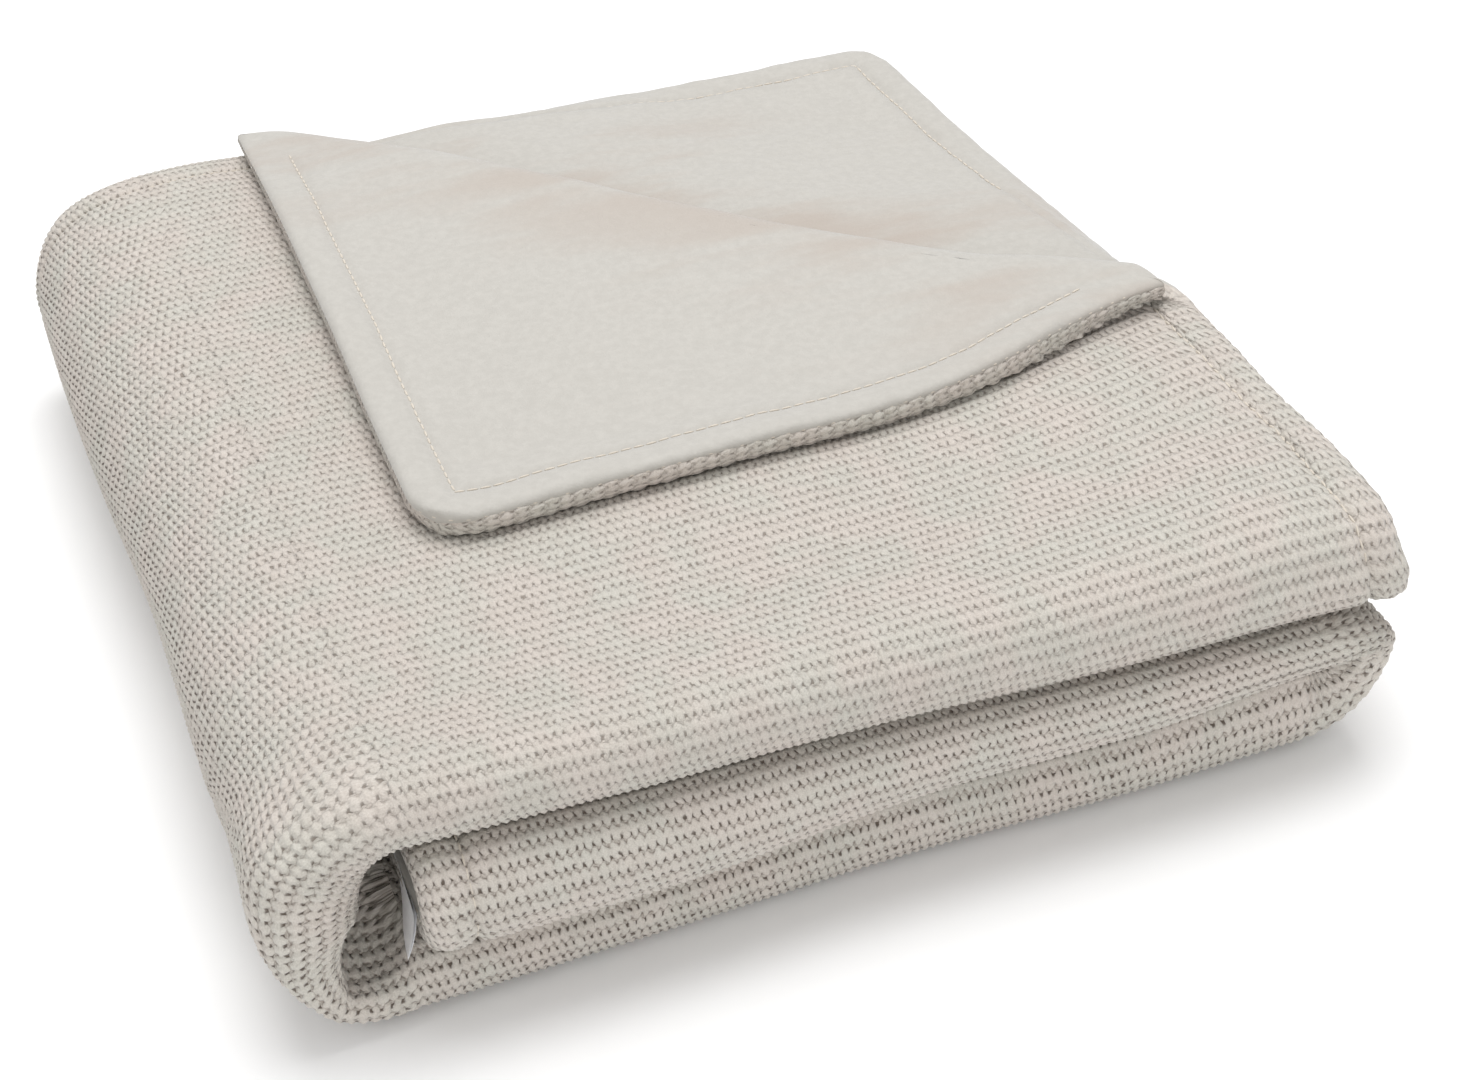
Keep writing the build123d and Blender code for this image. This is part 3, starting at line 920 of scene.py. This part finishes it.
SEAM_IN, SEAM_DEPTH = 0.8, 10.2
NEEDLE_DEPTH, BOBBIN_DEPTH = 1.5, 12.0
for kind, cloth, inset, depth, size in (
        ("topstitch", "knit", HEM_LINE, NEEDLE_DEPTH, {}),
        ("seam_thread", "fleece", SEAM_IN, SEAM_DEPTH, {"pitch": 5.0, "run": 1.4, "proud": -0.25})):
    top, flap = ("top_third", 0, TOP_LENGTH, True), ("corner_flap", FLAP_U, TOP_LENGTH, True)
    upper = sewn(*top, [f"top_third_{cloth}"], inset, depth, (1,), -1, **size)
    lower = sewn(*top, [f"top_third_{cloth}_below"], inset, depth, (-1,), **size)
    outer = sewn(*flap, [f"corner_flap_{cloth}"], inset, depth, (1,), 1, **size)
    if kind == "topstitch":
        lower += sewn(*top, ["top_third_fleece_below"], inset, BOBBIN_DEPTH, (-1,))
        outer += sewn(*flap, ["corner_flap_fleece"], inset, BOBBIN_DEPTH, (1,), 1)
    thread(f"top_third_{kind}", upper + lower)
    thread(f"corner_flap_{kind}", outer)
    for part, start in (("upper", 0.0), ("lower", quarter)):
        sewn_on = [f"left_turn_{part}_{cloth}"]
        thread(f"left_turn_{part}_{kind}",
               sewn("left_turn", start, start + quarter, False, sewn_on, inset, depth, **size))
    for stretch, end, has_end in (("bottom_third", BOTTOM_LENGTH, False), ("right_turn", math.pi, False),
                                  ("middle_third", MIDDLE_LENGTH, True)):
        thread(f"{stretch}_{kind}", sewn(stretch, 0, end, has_end, [f"{stretch}_{cloth}"], inset, depth, **size))


SATIN, LEAF_GAP = 0.25, 0.35  # the tape's thickness, and half the gap between its two leaves
IN_SEAM, FORWARD = 8.0, 8.0  # how much of the label the seam hides, and how far towards the front it hangs


def label_mesh():
    """A satin strip folded in two, hanging from the end of the middle third and curling at its free corner."""
    low, high = corners("care_label")
    bm = bmesh.new()
    bmesh.ops.create_grid(bm, x_segments=16, y_segments=40, size=1.0)
    for vert in bm.verts:
        across, down = (vert.co.x + 1) / 2, vert.co.y
        drop = 1 - abs(down)
        leaf = np.sign(down) * LEAF_GAP * (1 - drop ** 6)
        fall = IN_SEAM + drop * (high[2] - low[2] - 1) * (1 - 0.3 * across)
        curl = (0.6 + 3.2 * (1 - across)) * drop ** 1.6 + 0.4 * math.sin(across * 5) * drop - 1.0
        x = (low[0] + high[0]) / 2 + leaf - curl + 1.2 * across
        y = low[1] + across * (high[1] - low[1]) - FORWARD
        vert.co = Vector((x, y, high[2] - fall)) * MM
    bmesh.ops.solidify(bm, geom=bm.faces[:], thickness=SATIN * MM)
    bmesh.ops.recalc_face_normals(bm, faces=bm.faces[:])
    mesh = bpy.data.meshes.new("care_label_satin")
    bm.to_mesh(mesh)
    bm.free()
    mesh.shade_smooth()
    mesh.set_sharp_from_angle(angle=math.radians(50))
    return mesh


add("care_label_satin", label_mesh(), LABEL_FINISH)

# ---------------------------------------------------------------- camera, light and floor
CAMERA_AT = Vector((-0.2039, -0.6873, 0.5414))
CAMERA_TURN, CAMERA_DOWN, CAMERA_ROLL = math.radians(18.50), math.radians(36.87), math.radians(-2.87)


def look():
    """The camera's turn, from its heading, its tilt and its roll."""
    forward = Vector((math.sin(CAMERA_TURN) * math.cos(CAMERA_DOWN), math.cos(CAMERA_TURN) * math.cos(CAMERA_DOWN),
                      -math.sin(CAMERA_DOWN)))
    level = Vector((math.cos(CAMERA_TURN), -math.sin(CAMERA_TURN), 0))
    upward = level.cross(forward)
    right = level * math.cos(CAMERA_ROLL) + upward * math.sin(CAMERA_ROLL)
    up = upward * math.cos(CAMERA_ROLL) - level * math.sin(CAMERA_ROLL)
    return Matrix((right, up, -forward)).transposed().to_4x4()


camera_data = bpy.data.cameras.new("camera")
camera_data.lens = 65.08
camera_data.clip_start, camera_data.clip_end = 0.01, 20
camera = bpy.data.objects.new("camera", camera_data)
camera.matrix_world = Matrix.Translation(CAMERA_AT) @ look()
bpy.context.scene.collection.objects.link(camera)
bpy.context.scene.camera = camera


def lamp(name, at, size, power):
    """A round soft light, aimed at the middle of the pile."""
    data = bpy.data.lights.new(name, "AREA")
    data.shape, data.size, data.energy = "DISK", size, power
    obj = bpy.data.objects.new(name, data)
    aim = (Vector((0, 0, 0.04)) - Vector(at)).to_track_quat("-Z", "Y")
    obj.matrix_world = Matrix.Translation(at) @ aim.to_matrix().to_4x4()
    bpy.context.scene.collection.objects.link(obj)


lamp("overhead", (0.1, 0.2, 1.5), 1.3, 17.5)
lamp("left", (-1.3, -0.3, 0.9), 0.9, 1.0)
lamp("front", (-0.1, -1.7, 0.5), 1.1, 6)

world = bpy.data.worlds.new("studio")
world.use_nodes = True
world.node_tree.nodes["Background"].inputs["Color"].default_value = (1, 1, 1, 1)
world.node_tree.nodes["Background"].inputs["Strength"].default_value = 0.7
bpy.context.scene.world = world
bpy.context.scene.view_settings.view_transform = "Standard"

bm = bmesh.new()
bmesh.ops.create_grid(bm, x_segments=1, y_segments=1, size=6.0)
floor_mesh = bpy.data.meshes.new("floor")
bm.to_mesh(floor_mesh)
bm.free()
floor = bpy.data.objects.new("floor", floor_mesh)
bpy.context.scene.collection.objects.link(floor)
floor_finish = Finish("pale_floor", Roughness=0.9, Specular_IOR_Level=0.0)
floor_finish.shader.inputs["Base Color"].default_value = (0.93, 0.93, 0.93, 1)
floor_mesh.materials.append(floor_finish.material)

# ---------------------------------------------------------------- bodies
BODIES = {"top_third": "top_third", "bottom_third": "base", "right_turn": "base", "middle_third": "base",
          "corner_flap": "corner_flap"}
LAYERS = ("knit", "fleece", "topstitch", "seam_thread")


def ride(name, body, node):
    """Joins a piece to its body, in place of the CAD node."""
    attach(made[name], body)
    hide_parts(node)


for layer in LAYERS:
    for stretch, body in BODIES.items():
        ride(f"{stretch}_{layer}", body, f"{layer}_{stretch}")
for layer in ("knit", "fleece"):
    ride(f"top_third_{layer}_below", "top_third", f"{layer}_top_third")
ride("care_label_satin", "care_label", "care_label")

LEFT_LINE = (LEFT_X - LEFT_RADIUS) * MM
for layer in LAYERS:
    lower, upper = made[f"left_turn_lower_{layer}"], made[f"left_turn_upper_{layer}"]
    LEFT_Z * MM
    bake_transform(lower)
    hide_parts(f"{layer}_left_turn_lower")
    LEFT_Z * MM
    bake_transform(upper)
    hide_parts(f"{layer}_left_turn_upper")
for layer in ("knit", "fleece"):
    roll = made[f"corner_roll_{layer}"]
    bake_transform(roll)
    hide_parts(f"{layer}_corner_roll")

# the flat cuts: width along the strip, length across it, area cut away, and what the cloth rests on
FLAP_AREA = (RIGHT_X - FLAP_LOW[0]) ** 2 / 2
FLAP_CUT = (FOLD_LENGTH, FOLD_LENGTH / 2, FOLD_LENGTH ** 2 / 4)
LEFT_CUT, RIGHT_CUT = (LEFT_RADIUS * quarter, 2 * HALF_WIDTH, 0), (RIGHT_RADIUS * math.pi, 2 * HALF_WIDTH, 0)
BOTTOM_CUT, MIDDLE_CUT = (BOTTOM_LENGTH, 2 * HALF_WIDTH, 0), (MIDDLE_LENGTH, 2 * HALF_WIDTH, 0)
ROLL_KNIT, ROLL_FLEECE = 14.0, 31.0  # the cloth's way round the inside and the outside of the diagonal fold
LABEL_WIDTH, LABEL_LENGTH = 24.0, 30.0
FLOOR = ""
CUTS = {
    "top_third_knit": (TOP_LENGTH, HALF_WIDTH - FRONT_SPLIT, FLAP_AREA, "top_third_fleece"),
    "top_third_knit_below": (TOP_LENGTH, HALF_WIDTH + FRONT_SPLIT, 0, "middle_third_knit"),
    "top_third_fleece": (TOP_LENGTH, HALF_WIDTH, FLAP_AREA, "top_third_fleece_below"),
    "top_third_fleece_below": (TOP_LENGTH, HALF_WIDTH, 0, "top_third_knit_below"),
    "left_turn_upper_knit": (*LEFT_CUT, "left_turn_lower_knit"),
    "left_turn_upper_fleece": (*LEFT_CUT, "left_turn_lower_fleece"),
    "left_turn_lower_knit": (*LEFT_CUT, FLOOR),
    "left_turn_lower_fleece": (*LEFT_CUT, "left_turn_lower_knit"),
    "bottom_third_knit": (*BOTTOM_CUT, FLOOR),
    "bottom_third_fleece": (*BOTTOM_CUT, "bottom_third_knit"),
    "right_turn_knit": (*RIGHT_CUT, FLOOR),
    "right_turn_fleece": (*RIGHT_CUT, "right_turn_knit"),
    "middle_third_knit": (*MIDDLE_CUT, "bottom_third_knit"),
    "middle_third_fleece": (*MIDDLE_CUT, "middle_third_knit"),
    "corner_flap_knit": (*FLAP_CUT, "top_third_knit"),
    "corner_flap_fleece": (*FLAP_CUT, "corner_flap_knit"),
    "corner_roll_knit": (FOLD_LENGTH, ROLL_KNIT, 0, "top_third_knit"),
    "corner_roll_fleece": (FOLD_LENGTH, ROLL_FLEECE, 0, "corner_roll_knit"),
    "care_label_satin": (LABEL_WIDTH, LABEL_LENGTH, 0, "middle_third_knit"),
}
for name, (width, length, missing, under) in CUTS.items():
    layer = "topstitch" if name.endswith("_knit") else "seam_thread"
    sewn_on = made.get(name.rsplit("_", 1)[0] + "_" + layer)
    width * MM
    length * MM
    (width * length - missing) * MM * MM if missing else None
